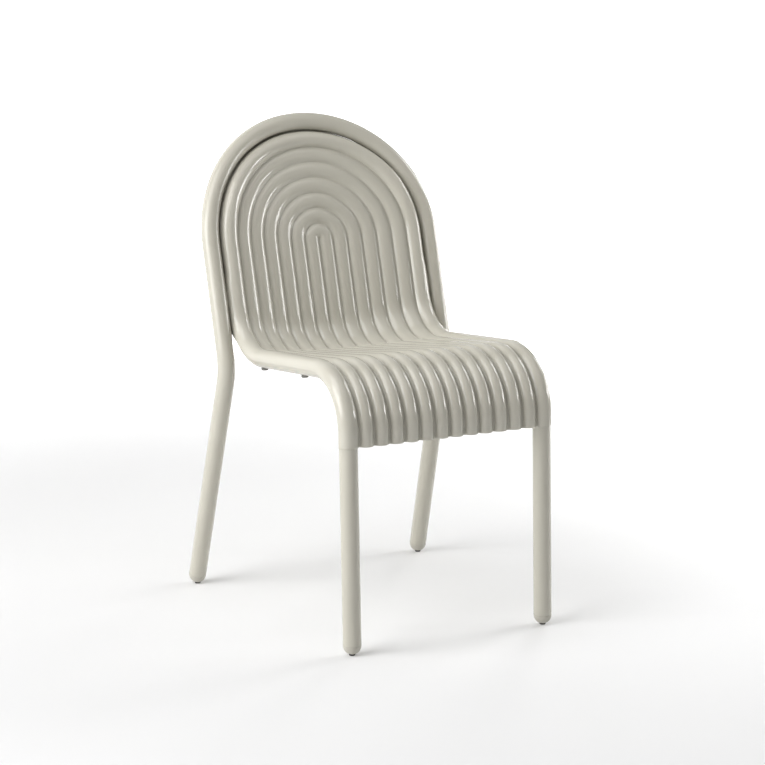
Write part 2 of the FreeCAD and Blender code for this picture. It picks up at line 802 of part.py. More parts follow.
def patches(surface):
    """Small faces of a sheet, rib by rib from the middle."""
    made = []
    for inner, outer in spans(surface.getUKnots(), SAMPLES_A_RIB):
        made.append([])
        for start, end in spans(surface.getVKnots(), ROWS_A_PATCH):
            patch = surface.copy()
            patch.segment(inner, outer, start, end)
            made[-1].append(patch)
    return made


def half_faces(line):
    """Two faces and outer rim of the half sheet that one kind of line gives."""
    upper, lower = [patches(skin([line(reach, under) for reach in reaches()])) for under in (False, True)]
    rims = [(top.uIso(top.bounds()[1]), low.uIso(low.bounds()[1])) for top, low in zip(upper[-1], lower[-1])]
    if line is rising_line:
        for (top, *_), (low, *_) in zip(upper, lower):
            rims.append((top.vIso(top.bounds()[2]), low.vIso(low.bounds()[2])))
    made = [Part.makeRuledSurface(top.toShape(), low.toShape()) for top, low in rims]
    return made + [patch.toShape() for strip in upper + lower for patch in strip]


def shell_solid():
    """Closed sheet: one half and its mirror image, sewn along the middle."""
    half = half_faces(rising_line) + half_faces(arch_line)
    closed = Part.makeShell(half + [face.mirror(Vector(), Vector(1, 0, 0)) for face in half])
    closed.sewShape()
    solid = Part.makeSolid(closed)
    if solid.Volume < 0:
        solid.reverse()
    return solid


shell_sheet = doc.addObject("Part::Feature", "shell_sheet")
shell_sheet.Shape = shell_solid()
node("seat_shell", shell_sheet)


# Seat bars and back brackets, with the screws that hold the shell to them.

fixings = {kind: {"screws": [], "washers": [], "inserts": [], "bosses": []} for kind in ("seat", "back")}


def underside(place):
    """Height of the shell's lower face over a placement's XY plane."""
    far = place.multVec(Vector(0, 0, float(size("hoop_half"))))
    inside = Part.makeLine(place.Base, far).common(shell_sheet.Shape)
    return min((vertex.Point - place.Base).Length for vertex in inside.Vertexes)


def boss_blank(name, place):
    """Round post from a plate's inner face, hollowed at its top by the shell."""
    thick = size("plate_thick")
    tall = underside(place) - float(thick - size("shell_wall") / 4)
    post = Part.makeCylinder(float(size("boss_d") / 2), tall)
    post.Placement = moved(place, thick)
    solids = post.cut(shell_sheet.Shape).Solids
    blank = doc.addObject("Part::Feature", f"{name}_boss_blank")
    blank.Shape = max(solids, key=lambda solid: solid.Volume)
    return blank


def moved(place, up):
    return place.multiply(Placement(Vector(0, 0, float(up)), Rotation()))


def fixing(kind, place):
    """Screw, washer and insert on an axis from a plate's outer face, and the shell's boss over it."""
    name = f"{kind}_{len(fixings[kind]['screws']) + 1}"
    thick = size("plate_thick")
    deep = size("insert_long") + size("washer_thick")
    hole = cylinder(f"{name}_hole", size("insert_d") / 2, deep, moved(place, thick))
    boss = cut(f"{name}_boss", boss_blank(name, place), [hole])
    washer = padded_body(f"{name}_washer", size("washer_d") / 2,
                         (size("screw_d") + size("screw_play")) / 2, size("washer_thick"))
    washer.Placement = moved(place, -size("washer_thick"))
    insert = padded_body(f"{name}_insert", size("insert_d") / 2,
                         size("screw_d") / 2 + size("slip"), size("insert_long"))
    insert.Placement = moved(place, thick)
    head = size("head_tall")
    floor = size("socket_deep") - head
    tip = size("washer_thick") + thick + size("grip")
    screw = turned_body(f"{name}_screw", [
        (ZERO, floor), (size("socket_d") / 2, floor), (size("socket_d") / 2, -head),
        (size("head_d") / 2, -head), (size("head_d") / 2, ZERO), (size("screw_d") / 2, ZERO),
        (size("screw_d") / 2, tip), (ZERO, tip)])
    screw.Placement = moved(place, -size("washer_thick"))
    pieces = {"screws": screw, "washers": washer, "inserts": insert, "bosses": boss}
    for group_name, piece in pieces.items():
        fixings[kind][group_name].append(piece)
    return cylinder(f"{name}_way", (size("screw_d") + size("screw_play")) / 2, thick, place)


def plate(name, place, long, wide):
    obj = doc.addObject("Part::Box", f"{name}_blank")
    bind(obj, Length=long, Width=wide, Height=size("plate_thick"))
    obj.Placement = place
    return obj


def on_seat(x, y, drop):
    """Placement with X across, Y along the rail and Z up from the seat."""
    turn = Rotation(Vector(1, 0, 0), seat_along, rail_normal, "ZXY")
    return Placement(rail_axis(y) - rail_normal * drop + Vector(x, 0, 0), turn)


def seat_bar(end, drop):
    """Flat bar between the rails, hollowed at its ends by their round sides."""
    name = f"{end}_seat_bar"
    y = float(size(f"{end}_bar_y"))
    wide = size("bar_wide")
    low = float(drop + size("plate_thick"))
    place = on_seat(0.0, y, low)
    corner = place.multiply(Placement(Vector(-outer_x, -float(wide) / 2, 0), Rotation()))
    tools = []
    for side, sign in sides.items():
        start = rail_axis(y) + Vector(sign * outer_x, 0, 0) - seat_along * float(wide)
        tools.append(cylinder(f"{name}_{side}_cope", tube_r, wide * 2, turned_to(start, seat_along)))
        across = sign * float(size("seat_screw_ribs") * size("rib_pitch"))
        tools.append(fixing("seat", on_seat(across, y, low)))
    blank = plate(name, corner, size("front_leg_x") * 2, wide)
    node(name, cut(name, blank, tools))


seat_bar("front", size("bar_drop"))
seat_bar("rear", size("bar_drop") + size("rear_bar_drop"))
screw_out = float(size("back_screw_ribs") * size("rib_pitch"))


def side_bracket(side, sign):
    name = f"{side}_back_bracket"
    along = float(size("bracket_along"))
    depth = -float(size("bracket_depth") + size("plate_thick"))
    wide = size("bracket_wide")
    reach = size("hoop_half") - size("back_screw_ribs") * size("rib_pitch") + size("bracket_past")
    start = float(size("hoop_half") - reach) if sign > 0 else -float(size("hoop_half"))
    blank = plate(name, on_back(start, along - float(wide) / 2, depth), reach, wide)
    way = fixing("back", on_back(sign * screw_out, along, depth))
    node(name, cut(name, blank, [hoop_bar, way]))


def top_bracket():
    name = "top_back_bracket"
    depth = -float(size("top_bracket_depth") + size("plate_thick"))
    wide = size("bracket_wide")
    spring = float(size("upright"))
    start = screw_out - float(size("bracket_past"))
    reach = size("hoop_half") - size("back_screw_ribs") * size("rib_pitch") + size("bracket_past")
    blank = plate(name, on_back(-float(wide) / 2, spring + start, depth), wide, reach)
    way = fixing("back", on_back(0.0, spring + screw_out, depth))
    node(name, cut(name, blank, [hoop_bar, way]))


for side, sign in sides.items():
    side_bracket(side, sign)
top_bracket()
for kind, sets in fixings.items():
    for group_name, pieces in sets.items():
        group(f"{kind}_{group_name}", pieces)


def check_and_write():
    doc.recompute()
    for obj in doc.Objects:
        if "Invalid" in obj.State or "Error" in obj.State:
            raise RuntimeError(f"{obj.Name} failed: {obj.State}")
    os.makedirs("parts", exist_ok=True)
    for name, obj in nodes.items():
        shape = obj.Shape
        if shape.isNull() or not shape.isValid():
            raise RuntimeError(f"{name} has no valid shape")
    for name, obj in nodes.items():
        obj.Shape.exportStep(f"parts/{name}.step")
        print(name, len(obj.Shape.Solids), "solids", round(obj.Shape.Volume), "mm3")


check_and_write()
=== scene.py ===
# %% [markdown]
# # A ribbed side chair for the porch
#
# The chair is one ribbed plastic shell on a frame of bent steel tube. The frame
# model that is loaded here fixes every size. The pieces made below stand in the
# same place as its solids, in metres, with finer rounding and real finishes.

# %% Load the fixed frame
import json
import math

import bmesh
import bpy
from mathutils import Matrix, Vector


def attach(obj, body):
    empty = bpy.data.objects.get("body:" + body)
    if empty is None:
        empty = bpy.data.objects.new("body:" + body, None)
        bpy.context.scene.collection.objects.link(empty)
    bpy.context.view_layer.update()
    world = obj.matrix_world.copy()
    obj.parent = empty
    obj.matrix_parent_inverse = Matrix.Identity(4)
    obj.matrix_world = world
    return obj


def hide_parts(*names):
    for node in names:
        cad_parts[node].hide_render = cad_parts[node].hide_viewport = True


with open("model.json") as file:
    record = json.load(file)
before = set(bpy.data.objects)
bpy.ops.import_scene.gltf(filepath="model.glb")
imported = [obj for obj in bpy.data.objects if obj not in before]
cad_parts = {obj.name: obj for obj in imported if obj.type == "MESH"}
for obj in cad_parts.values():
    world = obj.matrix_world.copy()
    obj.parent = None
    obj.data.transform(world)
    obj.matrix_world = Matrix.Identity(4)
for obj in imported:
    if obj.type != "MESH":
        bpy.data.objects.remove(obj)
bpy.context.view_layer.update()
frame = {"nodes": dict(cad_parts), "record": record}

MM = 0.001

# %% [markdown]
# ## The lines that the tubes follow
#
# Seen from the side, the chair is a few straight lines with rounded corners: the
# front leg, the seat rail that falls a little to the back, and the upright. Points
# could be typed in one by one, but a bent tube is drawn in the workshop by its
# corners and its bend radii, and so it is here.

# %% Directions in the side view
def leaning(degrees):
    """Unit vector that rises and leans back."""
    return Vector((0, math.sin(math.radians(degrees)), math.cos(math.radians(degrees))))


def falling(degrees):
    """Unit vector that runs back and falls."""
    return Vector((0, math.cos(math.radians(degrees)), -math.sin(math.radians(degrees))))


def sitter_side(along):
    """Normal of a line of the side view, on the sitter's side."""
    return Vector((0, -along.z, along.y))


def meeting(start_a, along_a, start_b, along_b):
    """Where two lines of the side view cross."""
    gap = start_b - start_a
    turn = along_a.y * along_b.z - along_a.z * along_b.y
    return start_a + along_a * ((gap.y * along_b.z - gap.z * along_b.y) / turn)


LEG_LEAN = 1.95
RAIL_FALL = 5.0
BACK_LEAN = 16.05
leg_along = leaning(LEG_LEAN)
rail_along = falling(RAIL_FALL)
back_along = leaning(BACK_LEAN)
back_normal = sitter_side(back_along)
print("back leans with normal", tuple(round(c, 3) for c in back_normal))

# %% Corners of the frame
TUBE_R = 15.0 * MM
FOOT_Z = 16.5 * MM
RAIL_X = 179.0 * MM
HOOP_X = 211.6 * MM
REAR_FOOT_X = 222.8 * MM
UPRIGHT = 212.9 * MM
TAIL = 135.0 * MM
FRONT_BEND = 92.0 * MM
REAR_BEND = 97.0 * MM
LEG_BEND = 100.0 * MM

front_foot = Vector((0, -0.26666, FOOT_Z))
rear_foot = Vector((0, 0.23473, FOOT_Z))
rail_mark = Vector((0, 0, 0.43302))
hoop_bend = Vector((0, 0.122956, 0.4011))
front_corner = meeting(front_foot, leg_along, rail_mark, rail_along)
rear_corner = meeting(rail_mark, rail_along, hoop_bend, back_along)
tail_tip = hoop_bend + back_along * TAIL
print("corners at height", round(front_corner.z, 4), "and", round(rear_corner.z, 4))

# %% [markdown]
# ## Bent tubes
#
# A tube could be a curve with a round bevel. Here a ring of edges is extruded from
# one station of the line to the next and turned on the way, so that the bends get
# even rings, the ends can be closed, and the cut edges can be eased as on real tube.

# %% Stations along a bent line
RINGS_A_BEND = 22


def rounded(before, corner, after, radius):
    """Stations (point, direction) round a corner between two straight runs."""
    inward = (corner - before).normalized()
    outward = (after - corner).normalized()
    angle = inward.angle(outward)
    start = corner - inward * radius * math.tan(angle / 2)
    axis = inward.cross(outward).normalized()
    centre = start + axis.cross(inward) * radius
    made = []
    for step in range(RINGS_A_BEND + 1):
        turn = Matrix.Rotation(angle * step / RINGS_A_BEND, 3, axis)
        made.append((centre + turn @ (start - centre), turn @ inward))
    return made


def moved_aside(stations, x):
    """The same stations on a side of the chair."""
    return [(point + Vector((x, 0, 0)), along) for point, along in stations]


side_line = [(front_foot, leg_along)]
side_line += rounded(front_foot, front_corner, rear_corner, FRONT_BEND)
side_line += rounded(front_corner, rear_corner, tail_tip, REAR_BEND)
side_line += [(tail_tip, back_along)]
print("side tube has", len(side_line), "stations")

# %% Stand a shape on a point and round its edges
TUBE_SIDES = 48
CUT_EASE = 0.5 * MM


def standing(point, along):
    """Matrix that stands a shape's Z axis on a point, along a direction."""
    turn = Vector((0, 0, 1)).rotation_difference(along)
    return Matrix.Translation(point) @ turn.to_matrix().to_4x4()


def ease(bm, edges, width, segments=3):
    """Rounds edges by a width."""
    bmesh.ops.bevel(bm, geom=edges, offset=width, segments=segments, profile=0.5,
                    affect="EDGES", material=-1)


def points_in(parts):
    """Points among the parts that an operator gives back."""
    return [part for part in parts if isinstance(part, bmesh.types.BMVert)]


def edges_in(parts):
    """Edges among the parts that an operator gives back."""
    return [part for part in parts if isinstance(part, bmesh.types.BMEdge)]


print("tubes have", TUBE_SIDES, "sides and ends eased by", CUT_EASE / MM, "mm")

# %% Sweep a ring along the stations
def finish_mesh(bm, name, sharp=40.0):
    """Object at the origin from a bmesh, smooth but for its sharp edges."""
    mesh = bpy.data.meshes.new(name)
    bm.to_mesh(mesh)
    bm.free()
    mesh.shade_smooth()
    mesh.set_sharp_from_angle(angle=math.radians(sharp))
    piece = bpy.data.objects.new(name, mesh)
    bpy.context.scene.collection.objects.link(piece)
    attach(piece, "root")
    print(name, len(mesh.polygons), "faces")
    return piece


def swept_tube(name, stations):
    """Closed tube from a disc that is drawn from station to station."""
    bm = bmesh.new()
    (point, along), *rest = stations
    bmesh.ops.create_circle(bm, cap_ends=True, segments=TUBE_SIDES, radius=TUBE_R,
                            matrix=standing(point, along))
    ring = first = bm.edges[:]
    for next_point, next_along in rest:
        made = bmesh.ops.extrude_edge_only(bm, edges=ring)["geom"]
        verts = set(points_in(made))
        ring = [edge for edge in edges_in(made) if verts.issuperset(edge.verts)]
        turn = along.rotation_difference(next_along).to_matrix().to_4x4()
        step = Matrix.Translation(next_point) @ turn @ Matrix.Translation(-point)
        bmesh.ops.transform(bm, matrix=step, verts=list(verts))
        point, along = next_point, next_along
    bmesh.ops.contextual_create(bm, geom=ring)
    bmesh.ops.recalc_face_normals(bm, faces=bm.faces)
    ease(bm, first + ring, CUT_EASE)
    return finish_mesh(bm, name)


tubes = []
for side, sign in (("left", -1), ("right", 1)):
    tube = swept_tube(f"{side}_rail_tube", moved_aside(side_line, sign * RAIL_X))
    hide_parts(f"{side}_side_tube")
    tubes.append(tube)

# %% [markdown]
# ## The rear hoop
#
# One long tube makes both rear legs and the arch round the back. Seen from above,
# the arch is hollow like the back that it carries, so its stations lie on a half
# circle that is pushed back the most in the middle. Three tubes could be joined where
# the arch springs, but the real one has no seam there, so it is one sweep.

# %% Hoop from foot to foot
DISH_RADIUS = 0.817
ARCH_RINGS = 56


def hoop_depth(x):
    """How far the arch lies behind the uprights."""
    return -(HOOP_X * HOOP_X - x * x) / (2 * DISH_RADIUS)


def arch_point(angle):
    """Point of the arch, from 0 at its right spring to a half turn at its left."""
    x = HOOP_X * math.cos(angle)
    return (hoop_bend + back_along * (UPRIGHT + HOOP_X * math.sin(angle))
            + back_normal * hoop_depth(x) + Vector((x, 0, 0)))


def leg_stations(sign):
    """Stations from a rear foot up to the spring of the arch."""
    foot = rear_foot + Vector((sign * REAR_FOOT_X, 0, 0))
    corner = hoop_bend + Vector((sign * HOOP_X, 0, 0))
    spring = corner + back_along * UPRIGHT
    return [(foot, (corner - foot).normalized())] + rounded(foot, corner, spring, LEG_BEND)


def hoop_stations():
    """Stations from the left foot over the arch to the right foot."""
    made = leg_stations(-1)
    near = 1e-3
    for step in range(ARCH_RINGS + 1):
        angle = math.pi * (1 - step / ARCH_RINGS)
        along = arch_point(angle - near) - arch_point(angle + near)
        made.append((arch_point(angle), along.normalized()))
    return made + [(point, -along) for point, along in reversed(leg_stations(1))]


hoop = swept_tube("rear_hoop_tube", hoop_stations())
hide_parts("rear_hoop")
tubes.append(hoop)

# %% [markdown]
# ## Feet, caps and buttons
#
# Each leg ends in a half-round plug of plastic that stands on a small dark pad. A
# ball cut by planes gives the plug at once: one cut is square to the leg, and one
# level cut leaves the flat that the pad sits on.

# %% Cut a ball to a foot plug
PLUG_RINGS = 26
PAD_R = 5.0 * MM
PAD_TOP = FOOT_Z - math.sqrt(TUBE_R ** 2 - PAD_R ** 2)
TOUCH = 1e-6


def cut_off(bm, point, normal):
    """Removes what lies past a plane and closes the cut; gives the cut's rim."""
    cut = bmesh.ops.bisect_plane(bm, geom=bm.verts[:] + bm.edges[:] + bm.faces[:], dist=TOUCH,
                                 plane_co=point, plane_no=normal, clear_outer=True)["geom_cut"]
    rim = edges_in(cut)
    bmesh.ops.contextual_create(bm, geom=rim)
    return rim


def foot_plug(name, centre, along):
    """Half ball below a leg's end, with a flat for its pad."""
    bm = bmesh.new()
    bmesh.ops.create_uvsphere(bm, u_segments=TUBE_SIDES, v_segments=PLUG_RINGS, radius=TUBE_R,
                              matrix=standing(centre, along))
    seam = cut_off(bm, centre, along)
    cut_off(bm, Vector((centre.x, centre.y, PAD_TOP)), Vector((0, 0, -1)))
    ease(bm, [edge for edge in seam if edge.is_valid], CUT_EASE)
    bmesh.ops.recalc_face_normals(bm, faces=bm.faces)
    plug = finish_mesh(bm, f"{name}_plug")
    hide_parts(f"{name}_foot_plug")
    return plug


print("flats for the pads lie", round(PAD_TOP / MM, 2), "mm above the floor")

# %% Turn the pads and set all four feet
PAD_ROUND = 0.8 * MM


def turned_disc(name, stand, radius, tall, rounding):
    """Disc whose lower edge is rounded, standing on a placement."""
    bm = bmesh.new()
    bmesh.ops.create_cone(bm, cap_ends=True, segments=TUBE_SIDES, radius1=radius, radius2=radius,
                          depth=tall, matrix=Matrix.Translation((0, 0, tall / 2)))
    low = [edge for edge in bm.edges if all(vert.co.z < tall / 2 for vert in edge.verts)]
    ease(bm, low, rounding, segments=6)
    bmesh.ops.transform(bm, matrix=stand, verts=bm.verts)
    return finish_mesh(bm, name)


plugs, pads = [], []
for side, sign in (("left", -1), ("right", 1)):
    feet = {"front": (front_foot + Vector((sign * RAIL_X, 0, 0)), leg_along),
            "rear": leg_stations(sign)[0]}
    for end, (centre, along) in feet.items():
        plugs.append(foot_plug(f"{end}_{side}", centre, along))
        below = Matrix.Translation((centre.x, centre.y, 0))
        pad = turned_disc(f"{end}_{side}_pad", below, PAD_R, PAD_TOP, PAD_ROUND)
        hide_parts(f"{end}_{side}_glide")
        pads.append(pad)

# %% [markdown]
# The rails carry two grey buttons each below the seat, which rest on the next chair
# of a stack, and a cap closes the rail's upper end. A sphere could be flattened for
# them, but all are turned shapes, so one short disc with a rounded edge serves for
# each.

# %% Buttons below the rails and caps on their ends
BUTTON_R = 6.0 * MM
BUTTON_TALL = 4.0 * MM
BUTTON_ROUND = 1.9 * MM
BUTTON_Y = {"front": -0.1033, "rear": 0.0458}
CAP_TALL = 3.0 * MM
CAP_ROUND = 2.4 * MM
rail_normal = sitter_side(rail_along)
buttons = []
for side, sign in (("left", -1), ("right", 1)):
    aside = Vector((sign * RAIL_X, 0, 0))
    for end, y in BUTTON_Y.items():
        on_axis = rail_mark + rail_along * (y / rail_along.y)
        low = on_axis - rail_normal * (TUBE_R + BUTTON_TALL) + aside
        button = turned_disc(f"{side}_{end}_button", standing(low, rail_normal), BUTTON_R,
                             BUTTON_TALL, BUTTON_ROUND)
        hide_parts(f"{side}_{end}_bumper")
        buttons.append(button)
    top = tail_tip + back_along * CAP_TALL + aside
    cap = turned_disc(f"{side}_tail_cap", standing(top, -back_along), TUBE_R, CAP_TALL, CAP_ROUND)
    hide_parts(f"{side}_rail_cap")
    plugs.append(cap)

# %% [markdown]
# ## The ribbed shell
#
# The shell is one moulding: an apron in front, a roll over the front bend, the
# seat, and a hollow back whose ribs turn round an arch. It could be carved from a
# block, but a moulding is a sheet that was pressed over a form. So a flat grid is
# laid out, one way across the ribs and one way along them, and bent over the form.
# Only one half is bent, because the other is its mirror image. The section changes
# on the way: the ribs are round and deep on the apron, and flatten along the seat to
# broad crests with narrow grooves on the back.

# %% Section across the ribs
PITCH = 27.3 * MM
RIBS_A_SIDE = 6
RIB_DEEP = 9.0 * MM
VALLEY_HALF = 2.5 * MM
VALLEY_LEVEL = 7.5 * MM
FLAT_DROP = 4.2 * MM
FLAT_POWER = 2.5
FLAT_VALLEY_HALF = 1.8 * MM
last_valley = PITCH * RIBS_A_SIDE


def mixed(near, far, share):
    """Value at a share of the way between two."""
    return near + (far - near) * share


def round_rib(off):
    """Height of a rib of the apron over its valley: round crest and valley, one tangent."""
    steep = math.sin(2 * math.atan2(RIB_DEEP, PITCH / 2))
    if off < VALLEY_HALF:
        radius = VALLEY_HALF / steep
        return radius - math.sqrt(radius ** 2 - off ** 2)
    radius = (PITCH / 2 - VALLEY_HALF) / steep
    return RIB_DEEP - radius + math.sqrt(radius ** 2 - (PITCH / 2 - off) ** 2)


def flat_rib(off):
    """Height of a rib of the back over its valley: broad flat crest, narrow groove."""
    wide = PITCH / 2 - FLAT_VALLEY_HALF
    turn = math.atan(FLAT_POWER * FLAT_DROP / wide)
    if off < FLAT_VALLEY_HALF:
        radius = FLAT_VALLEY_HALF / math.sin(turn)
        return radius - math.sqrt(radius ** 2 - off ** 2)
    groove = FLAT_VALLEY_HALF * math.tan(turn / 2)
    return groove + FLAT_DROP * (1 - abs((PITCH / 2 - off) / wide) ** FLAT_POWER)


def rib_height(reach, flat):
    """Height at a distance across, from round ribs at 0 to flat ones at 1."""
    off = abs(reach - PITCH * round(reach / PITCH))
    return mixed(round_rib(off), flat_rib(off), flat)


for flat, spot in enumerate(("on the apron", "on the back")):
    print("rib", round(rib_height(PITCH / 2, flat) / MM, 2), "mm high", spot)

# %% Grid lines across the ribs
STEPS = {"rib": 24, "crease": 4, "cover": 18, "flange": 3, "toe": 6}
INNER_LINES = STEPS["rib"] * RIBS_A_SIDE
VALLEY_PULL = 3.4 * MM


def rib_line(step):
    """Distance across of a grid line; lines crowd in the valleys, where bends are tight."""
    whole, part = divmod(step / STEPS["rib"], 1)
    bent = min(part, 1 - part) * 2
    off = bent * PITCH / 2 - VALLEY_PULL * math.sin(math.pi * bent)
    return PITCH * (whole + (off / PITCH if part < 0.5 else 1 - off / PITCH))


print("first grid lines at", [round(rib_line(step) / MM, 2) for step in range(5)], "mm")

# %% [markdown]
# The outermost rib lies on the side tube as a cover. Beside the seat it ends at the
# tube's widest point. From the rear bend on it gets a flange with a turned-out toe,
# so that only a dark narrow joint shows between the shell and the hoop. A second
# piece could close that gap, but on the real shell it is all one sheet, so the same
# grid lines run on round the edge.

# %% Outer rib, flange and toe
COVER_R = 16.5 * MM
BACK_HALF = 14.4 * MM
SEAT_FLANGE = 0.6 * MM
BACK_FLANGE = 7.0 * MM
TOE_PLAY = 0.4 * MM
TOE_FILLET = 1.2 * MM
arm = RAIL_X - last_valley
CREASE_R = (arm ** 2 - COVER_R ** 2 + VALLEY_LEVEL ** 2) / (2 * (COVER_R - VALLEY_LEVEL))
crease_turn = math.atan2(arm, CREASE_R + VALLEY_LEVEL)


def across(step, flat, narrowed, joined, toe):
    """Place across, height and slope of one grid line, by the rib's shape and the flange."""
    if step <= INNER_LINES:
        reach = rib_line(step)
        near = PITCH / 1000
        rise = rib_height(reach + near, flat) - rib_height(reach - near, flat)
        return reach, rib_height(reach, flat), math.atan2(rise, 2 * near)
    step -= INNER_LINES
    if step <= STEPS["crease"]:
        turn = crease_turn * step / STEPS["crease"]
        return last_valley + CREASE_R * math.sin(turn), CREASE_R * (1 - math.cos(turn)), turn
    step -= STEPS["crease"]
    half = mixed(COVER_R, BACK_HALF, narrowed)
    if step <= STEPS["cover"]:
        turn = mixed(-crease_turn, math.pi / 2, step / STEPS["cover"])
        wide = half if turn > 0 else COVER_R
        slope = math.atan2(-COVER_R * math.sin(turn), wide * math.cos(turn))
        return RAIL_X + wide * math.sin(turn), COVER_R * math.cos(turn) - VALLEY_LEVEL, slope
    step -= STEPS["cover"]
    fillet = TOE_FILLET * joined
    flange = mixed(SEAT_FLANGE, BACK_FLANGE, joined) - fillet
    if step <= STEPS["flange"]:
        return RAIL_X + half, -VALLEY_LEVEL - flange * step / STEPS["flange"], -math.pi / 2
    step -= STEPS["flange"]
    turn = math.pi / 2 * min(step / (STEPS["toe"] - 1), 1.0)
    out = fillet * (1 - math.cos(turn))
    if step == STEPS["toe"]:
        out = toe * joined
    low = -VALLEY_LEVEL - flange - fillet * math.sin(turn)
    return RAIL_X + half + out, low, turn - math.pi / 2


LINES = sum(STEPS.values()) - STEPS["rib"] + INNER_LINES
print("grid lines across one half:", LINES + 1, "crease radius", round(CREASE_R / MM, 2), "mm")

# %% [markdown]
# Along the ribs there are two guide lines in the side view, one at the edge of the
# seat and one in its middle, where the seat falls more and the back is hollow. They
# could be drawn as curves and sampled, but like the tubes they are straight runs and
# round bends, so the same helpers give them row by row.

# %% Guide lines of the shell
APRON_FOOT = 0.3364
ROWS = {"apron": 6, "roll": 22, "seat": 12, "bend": 22, "back": 20, "arch": 42}
DISH = 19.6 * MM
MIDDLE_FALL = 7.5
MIDDLE_BEND = 70.0 * MM


def guide(slope, bend, depth):
    """Rows (point, normal) at the valleys' level, from the apron's foot to the bend's end."""
    run = falling(slope)
    first = rounded(front_foot, front_corner, rear_corner, FRONT_BEND)[0]
    leg_normal = sitter_side(leg_along)
    centre = first[0] - leg_normal * FRONT_BEND
    foot = front_foot + leg_along * ((APRON_FOOT - FOOT_Z) / leg_along.z)
    rows = []
    for step in range(ROWS["apron"]):
        on_leg = foot.lerp(first[0], step / ROWS["apron"])
        rows.append((on_leg + leg_normal * VALLEY_LEVEL, leg_normal))
    seat_normal = sitter_side(run)
    for step in range(ROWS["roll"]):
        normal = leg_normal.slerp(seat_normal, step / ROWS["roll"])
        rows.append((centre + normal * (FRONT_BEND + VALLEY_LEVEL), normal))
    seat_start = centre + seat_normal * (FRONT_BEND + VALLEY_LEVEL)
    back_start = hoop_bend + back_normal * depth
    corner = meeting(seat_start, run, back_start, back_along)
    hollow = rounded(seat_start, corner, back_start + back_along * UPRIGHT, bend)
    for step in range(ROWS["seat"]):
        rows.append((seat_start.lerp(hollow[0][0], step / ROWS["seat"]), seat_normal))
    pivot = hollow[0][0] + seat_normal * bend
    for step in range(ROWS["bend"] + 1):
        normal = seat_normal.slerp(back_normal, step / ROWS["bend"])
        rows.append((pivot - normal * bend, normal))
    return rows


edge_guide = guide(RAIL_FALL, REAR_BEND - VALLEY_LEVEL, VALLEY_LEVEL)
middle_guide = guide(MIDDLE_FALL, MIDDLE_BEND, VALLEY_LEVEL - DISH)
edge_end = (edge_guide[-1][0] - hoop_bend).dot(back_along)
middle_end = (middle_guide[-1][0] - hoop_bend).dot(back_along)
print("bend ends", round(edge_end, 4), "up the edge and", round(middle_end, 4), "up the middle")

# %% [markdown]
# The section is not the same in every row. The ribs flatten along the seat, the flange
# grows out of the edge at the rear bend, and the outer rib gets narrower where the rail
# inside it ends. A loft between a few drawn sections could do that, but a gentle step
# between two marks says the same in one line each.

# %% What changes from row to row
TO_SEAT = ROWS["apron"] + ROWS["roll"]
TO_BEND = TO_SEAT + ROWS["seat"]
TO_BACK = TO_BEND + ROWS["bend"]
TO_ARCH = TO_BACK + ROWS["back"]
TO_TOP = TO_ARCH + ROWS["arch"]
FLATTEN_FROM = TO_SEAT - ROWS["roll"] / 3
NARROW_FROM = 142.0 * MM
NARROW_TO = 165.0 * MM
FLANGE_FROM = 44.0 * MM
FLANGE_TO = 76.0 * MM


def eased(value, first, last):
    """Share between two marks that starts and ends gently."""
    share = min(max((value - first) / (last - first), 0.0), 1.0)
    return share * share * (3 - 2 * share)


def up_the_edge(row):
    """How far up the hoop's upright a row meets the shell's edge."""
    return mixed(edge_end, UPRIGHT, (row - TO_BACK) / ROWS["back"])


def flat_at(row):
    """0 where the ribs are round, 1 where they are flat."""
    return eased(row, FLATTEN_FROM, TO_BEND)


def narrowed_at(row):
    """0 where the outer rib lies on the rail, 1 past the rail's upper end."""
    return eased(up_the_edge(row), NARROW_FROM, NARROW_TO)


def joined_at(row):
    """0 where the outer rib ends on the rail, 1 where its flange runs beside the hoop."""
    return eased(up_the_edge(row), FLANGE_FROM, FLANGE_TO)


print("rows along the shell:", TO_TOP + 1)
for change in (flat_at, joined_at, narrowed_at):
    print(change.__name__, "is full from row", min(r for r in range(TO_TOP) if change(r) == 1))

# %% [markdown]
# A point of the grid is known by its distance across, its row along and its height
# over the valleys. On the apron and the seat it takes its share of both guide lines.
# On the back it lies on a hollow face, and past the uprights the rows fan out round
# the middle of the arch, which turns the straight ribs into rings. A lattice or a
# curve modifier could bend a flat sheet, but neither keeps the ribs even in the fan.

# %% Bend a grid point over the form
ARCH_FOLLOW = 7.8 * MM


def on_form(reach, row, height):
    """Point of the shell at a distance across, in a row, at a height over the valleys."""
    share = max(0.0, 1 - (reach / last_valley) ** 2)
    if row < TO_BACK:
        (edge, edge_normal), (middle, middle_normal) = edge_guide[row], middle_guide[row]
        normal = edge_normal.lerp(middle_normal, share).normalized()
        return edge.lerp(middle, share) + normal * height + Vector((reach, 0, 0))
    if row <= TO_ARCH:
        start = mixed(edge_end, middle_end, share)
        x, up = reach, 0.0
        along = start + (UPRIGHT - start) * (row - TO_BACK) / ROWS["back"]
    else:
        turn = math.pi / 2 * (row - TO_ARCH) / ROWS["arch"]
        x, up = reach * math.cos(turn), reach * math.sin(turn)
        along = UPRIGHT + up
    share = max(0.0, 1 - (x / last_valley) ** 2)
    level = VALLEY_LEVEL - DISH * share - ARCH_FOLLOW * (up / RAIL_X) ** 2
    on_back = hoop_bend + back_along * along + back_normal * (level + height)
    return on_back + Vector((x, 0, 0))


